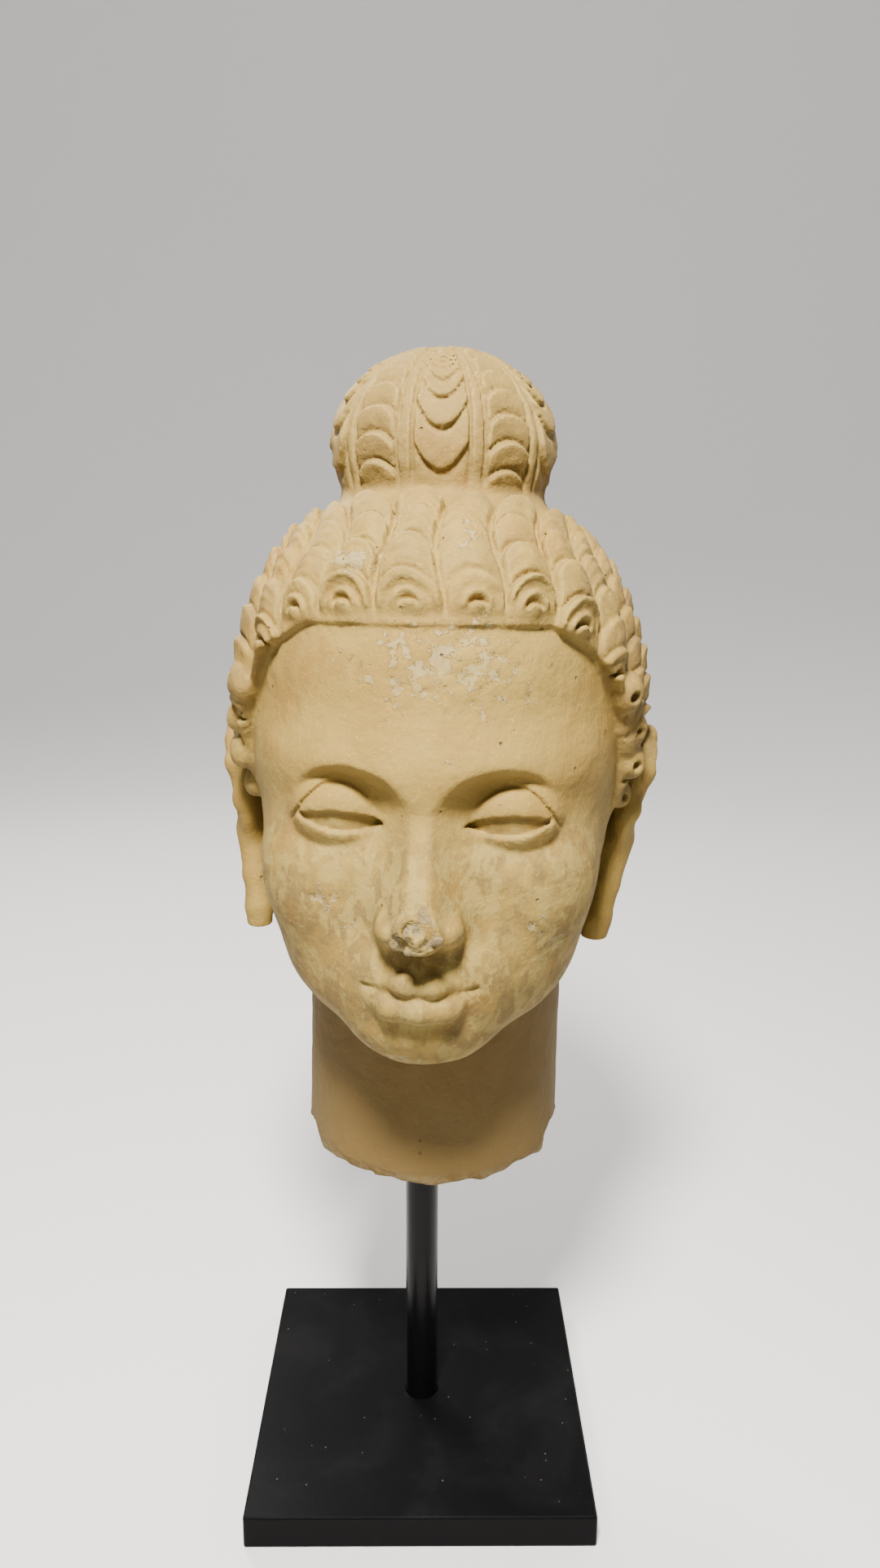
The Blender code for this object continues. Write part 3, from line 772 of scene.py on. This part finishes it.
class Finish:
    """A material, and short words that build its nodes from numbers, colours and sockets."""

    def __init__(self, name):
        self.material = bpy.data.materials.new(name)
        self.material.use_nodes = True
        self.nodes = self.material.node_tree.nodes
        self.links = self.material.node_tree.links
        self.shader = self.nodes["Principled BSDF"]
        self.place = self.nodes.new("ShaderNodeTexCoord").outputs["Object"]

    def put(self, socket, value):
        if isinstance(value, bpy.types.NodeSocket):
            self.links.new(value, socket)
        elif isinstance(value, tuple) and len(value) == 3 and socket.type == "RGBA":
            socket.default_value = (*value, 1)
        else:
            socket.default_value = value

    def set(self, **values):
        for name, value in values.items():
            self.put(self.shader.inputs[name.replace("_", " ")], value)

    def mark(self, name):
        node = self.nodes.new("ShaderNodeAttribute")
        node.attribute_name = name
        return node.outputs["Fac"]

    def facing_up(self):
        split = self.nodes.new("ShaderNodeSeparateXYZ")
        self.put(split.inputs[0], self.nodes.new("ShaderNodeNewGeometry").outputs["Normal"])
        return split.outputs["Z"]

    def noise(self, length, detail, rough, warp=0.0, stretch=(1, 1, 1)):
        """Noise about 0.5 whose waves are as long as length, in metres."""
        node = self.nodes.new("ShaderNodeTexNoise")
        mapping = self.nodes.new("ShaderNodeMapping")
        self.put(mapping.inputs["Vector"], self.place)
        self.put(mapping.inputs["Scale"], tuple(1 / (length * s) for s in stretch))
        self.put(node.inputs["Vector"], mapping.outputs[0])
        settings = {"Scale": 1, "Detail": detail, "Roughness": rough, "Distortion": warp}
        for name, value in settings.items():
            self.put(node.inputs[name], value)
        return node.outputs["Fac"]

    def dots(self, spacing):
        """Distance from scattered points, in shares of their spacing, and a random number for each."""
        node = self.nodes.new("ShaderNodeTexVoronoi")
        self.put(node.inputs["Vector"], self.place)
        self.put(node.inputs["Scale"], 1 / spacing)
        split = self.nodes.new("ShaderNodeSeparateXYZ")
        self.put(split.inputs[0], node.outputs["Color"])
        return node.outputs["Distance"], split.outputs["X"]

    def step(self, value, low, high):
        """0 below low, 1 above high and smooth between them; high may be the lower."""
        node = self.nodes.new("ShaderNodeMapRange")
        node.interpolation_type = "SMOOTHSTEP"
        turned = low > high
        ends = (high, low, 1.0, 0.0) if turned else (low, high, 0.0, 1.0)
        for i, end in enumerate((value, *ends)):
            self.put(node.inputs[i], end)
        return node.outputs[0]

    def math(self, operation, a, b):
        node = self.nodes.new("ShaderNodeMath")
        node.operation = operation
        self.put(node.inputs[0], a)
        self.put(node.inputs[1], b)
        return node.outputs[0]

    def times(self, *values):
        total = values[0]
        for value in values[1:]:
            total = self.math("MULTIPLY", total, value)
        return total

    def plus(self, *values):
        total = values[0]
        for value in values[1:]:
            total = self.math("ADD", total, value)
        return total

    def mix(self, share, a, b):
        """Colour a, with the given share of colour b."""
        node = self.nodes.new("ShaderNodeMix")
        node.data_type = "RGBA"
        self.put(node.inputs["Factor"], share)
        self.put(node.inputs[6], a)
        self.put(node.inputs[7], b)
        return node.outputs[2]

    def bump(self, height, depth, strength):
        node = self.nodes.new("ShaderNodeBump")
        self.put(node.inputs["Strength"], strength)
        self.put(node.inputs["Distance"], depth)
        self.put(node.inputs["Height"], height)
        self.put(self.shader.inputs["Normal"], node.outputs[0])


def stucco_finish():
    f = Finish("stucco_finish")
    groove, edge, bare, slip = (f.mark(name) for name in ("groove", "edge", "bare", "slip"))
    neck, cheek, hair, height = (f.mark(name) for name in ("neck", "cheek", "hair", "height"))
    broad = f.noise(BROAD_WAVE, 3, 0.55)
    middle = f.noise(MIDDLE_WAVE, 4, 0.6, 0.3)
    small = f.noise(SMALL_WAVE, 4, 0.6)
    grain = f.noise(GRAIN_WAVE, 3, 0.6)
    mottled = f.plus(f.times(middle, 0.6), f.times(small, 0.4))

    # the ground, duller on the cheeks, in the hair and at the top of the topknot; in the hair the
    # dulling is strongest at the sides and behind, as painted shade
    colour = f.mix(f.step(broad, 0.40, 0.62), OCHRE, STRAW)
    colour = f.mix(f.times(cheek, f.step(mottled, 0.42, 0.58), 0.95), colour, ASH)
    # the hair darkens towards its sides and back as painted shade
    colour = f.mix(f.times(hair, f.step(mottled, 0.38, 0.58), 0.85), colour, DULLED_AND_SHADED_HAIR)
    colour = f.mix(f.times(f.step(height, 0.80, 0.88), 0.45), colour, ASH)

    # brown stains, pale mottling of the cheeks, and edges lightened partly for wear and partly as a
    # painted highlight
    blotches = f.step(f.noise(STAIN_WAVE, 3, 0.5, 0.5), 0.54, 0.70)
    colour = f.mix(f.times(blotches, f.step(small, 0.25, 0.6), 0.6), colour, STAIN)
    mottles = f.step(f.noise(MOTTLE_WAVE, 5, 0.66, 0.4, stretch=(1, 1, 1.5)), 0.48, 0.57)
    colour = f.mix(f.times(cheek, mottles, 0.8), colour, CREAM)
    clean = f.plus(1, f.times(hair, -0.85))
    # edges lighten for wear and also as a painted highlight
    worn = f.times(f.step(edge, 0.08, 0.40), f.step(middle, 0.25, 0.6), clean, 0.8)
    colour = f.mix(worn, colour, CREAM)

    # the browner neck, darkened also as painted shade, with a frayed edge
    frayed = f.plus(neck, f.times(f.plus(middle, -0.5), 1.1), f.times(f.plus(small, -0.5), 0.4))
    browned_and_shaded = f.mix(f.step(broad, 0.36, 0.64), NECK_BROWN_AND_SHADE, NECK_PALE_BROWN_AND_SHADE)
    colour = f.mix(f.times(f.step(frayed, 0.05, 0.75), 0.92), colour, browned_and_shaded)

    # flakes of slip, the breaks, dirt and painted shade in the grooves, pits and specks
    ragged = f.times(f.plus(f.noise(FLAKE_WAVE, 4, 0.65), -0.5), 2.2)
    flakes = f.step(f.plus(slip, ragged), -0.01, 0.05)
    colour = f.mix(f.times(flakes, f.step(small, 0.2, 0.55), 0.9), colour, SLIP)
    colour = f.mix(f.times(bare, f.step(small, 0.35, 0.55), 0.95), colour, BREAK)
    # the grooves darken to brown: dirt, and painted shade in the hollows
    dirt_and_shade_in_grooves = f.times(f.step(f.plus(groove, f.times(small, 0.30)), 0.24, 0.72), 0.86)
    colour = f.mix(dirt_and_shade_in_grooves, colour, DIRT_AND_SHADE)
    distance, chance = f.dots(PIT_SPACING)
    pits = f.times(f.step(distance, 0.12, 0.05), f.step(chance, 0.86, 0.90))
    colour = f.mix(f.times(pits, 0.7), colour, DIRT_AND_SHADE)
    specks = f.times(f.step(grain, 0.60, 0.72), f.plus(0.30, f.times(neck, -0.24)))
    colour = f.mix(specks, colour, STAIN)

    f.set(Base_Color=colour)
    f.set(Roughness=f.plus(0.62, f.times(middle, 0.25), f.times(bare, 0.2)))
    f.set(Specular_IOR_Level=0.15)
    relief = f.plus(f.times(middle, 0.9), f.times(small, 0.5), f.times(grain, 0.14))
    relief = f.plus(relief, f.times(flakes, 0.35), f.times(pits, -0.8))
    relief = f.plus(relief, f.times(bare, f.noise(BREAK_WAVE, 5, 0.7), 2.0))
    f.bump(relief, STUCCO_RELIEF, 0.9)
    return f.material


def steel_finish(name, roughness, smudge, gloss):
    """Black paint on steel: smudged, with a little dust on what faces up."""
    f = Finish(name)
    smear = f.noise(SMEAR_WAVE, 4, 0.6, 0.6)
    fine = f.noise(PAINT_WAVE, 2, 0.5)
    distance, chance = f.dots(SPECK_SPACING)
    speck = f.times(f.step(distance, 0.13, 0.05), f.step(chance, 0.88, 0.92))
    up = f.step(f.facing_up(), 0.7, 0.95)
    veil = f.times(f.step(smear, 0.45, 0.75), 0.012)
    dusty = f.times(up, f.plus(veil, f.times(speck, 0.45)))
    f.set(Base_Color=f.mix(dusty, BLACK, DUST))
    f.set(Roughness=f.plus(roughness, f.times(smear, smudge), f.times(dusty, 0.8)))
    f.set(Specular_IOR_Level=gloss)
    f.bump(f.plus(fine, f.times(speck, 0.4)), PAINT_RELIEF, 0.5)
    return f.material


def repaint(node, finish):
    """Gives a node of the frame its finish, with its mesh left as it is."""
    for slot in node.material_slots:
        slot.link = "OBJECT"
        slot.material = finish


def floor():
    """A round pale floor that sweeps up into a low wall all about the stand."""
    rings = [(0.0, 0.0), (FLOOR_FLAT, 0.0)]
    for i in range(1, SWEEP_STEPS + 1):
        angle = math.pi / 2 * i / SWEEP_STEPS
        rings.append((FLOOR_FLAT + SWEEP * math.sin(angle), SWEEP * (1 - math.cos(angle))))
    rings.append((FLOOR_FLAT + SWEEP, WALL_TOP))
    shape = bmesh.new()
    line = [shape.verts.new((reach, 0, height)) for reach, height in rings]
    edges = [shape.edges.new(pair) for pair in zip(line, line[1:])]
    bmesh.ops.spin(
        shape, geom=line + edges, cent=(0, 0, 0), axis=(0, 0, 1), angle=2 * math.pi, steps=FLOOR_SIDES
    )
    bmesh.ops.remove_doubles(shape, verts=shape.verts, dist=0.0001)
    bmesh.ops.recalc_face_normals(shape, faces=shape.faces)
    mesh = bpy.data.meshes.new("floor")
    shape.to_mesh(mesh)
    shape.free()
    mesh.shade_smooth()
    made = bpy.data.objects.new("floor", mesh)
    bpy.context.scene.collection.objects.link(made)
    f = Finish("floor_finish")
    f.set(Base_Color=FLOOR, Roughness=0.9, Specular_IOR_Level=0.2)
    mesh.materials.append(f.material)


def lights():
    for name, place, aim, size, power, colour in LIGHTS:
        data = bpy.data.lights.new(name, "AREA")
        data.shape = "DISK"
        data.size = size
        data.energy = power
        data.color = colour
        made = bpy.data.objects.new(name, data)
        made.location = place
        made.rotation_euler = (Vector(aim) - Vector(place)).to_track_quat("-Z", "Y").to_euler()
        bpy.context.scene.collection.objects.link(made)
    world = bpy.data.worlds.new("studio")
    world.use_nodes = True
    background = world.node_tree.nodes["Background"]
    background.inputs["Color"].default_value = (*STUDIO_COLOUR, 1)
    background.inputs["Strength"].default_value = STUDIO_STRENGTH
    bpy.context.scene.world = world


def camera():
    data = bpy.data.cameras.new("camera")
    data.sensor_width = SENSOR
    data.lens = SENSOR * FOCAL_PIXELS / FRAME_HEIGHT
    data.clip_start = 0.01
    made = bpy.data.objects.new("camera", data)
    turned = Matrix.Rotation(math.radians(CAMERA_YAW), 4, "Z")
    turned @= Matrix.Rotation(math.radians(90 - CAMERA_PITCH), 4, "X")
    turned @= Matrix.Rotation(math.radians(-CAMERA_ROLL), 4, "Z")
    made.matrix_world = Matrix.Translation(CAMERA_AT) @ turned
    bpy.context.scene.collection.objects.link(made)
    bpy.context.scene.camera = made


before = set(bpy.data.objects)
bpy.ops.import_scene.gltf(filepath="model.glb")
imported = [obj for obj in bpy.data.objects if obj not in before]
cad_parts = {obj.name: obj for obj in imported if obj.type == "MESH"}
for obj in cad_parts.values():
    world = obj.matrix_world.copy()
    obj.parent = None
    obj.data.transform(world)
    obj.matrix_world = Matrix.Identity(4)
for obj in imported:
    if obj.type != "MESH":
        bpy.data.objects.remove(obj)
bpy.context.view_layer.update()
dressed_head().data.materials.append(stucco_finish())
repaint(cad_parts["post"], steel_finish("post_finish", *POST_PAINT))
repaint(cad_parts["base_plate"], steel_finish("plate_finish", *PLATE_PAINT))
floor()
lights()
camera()
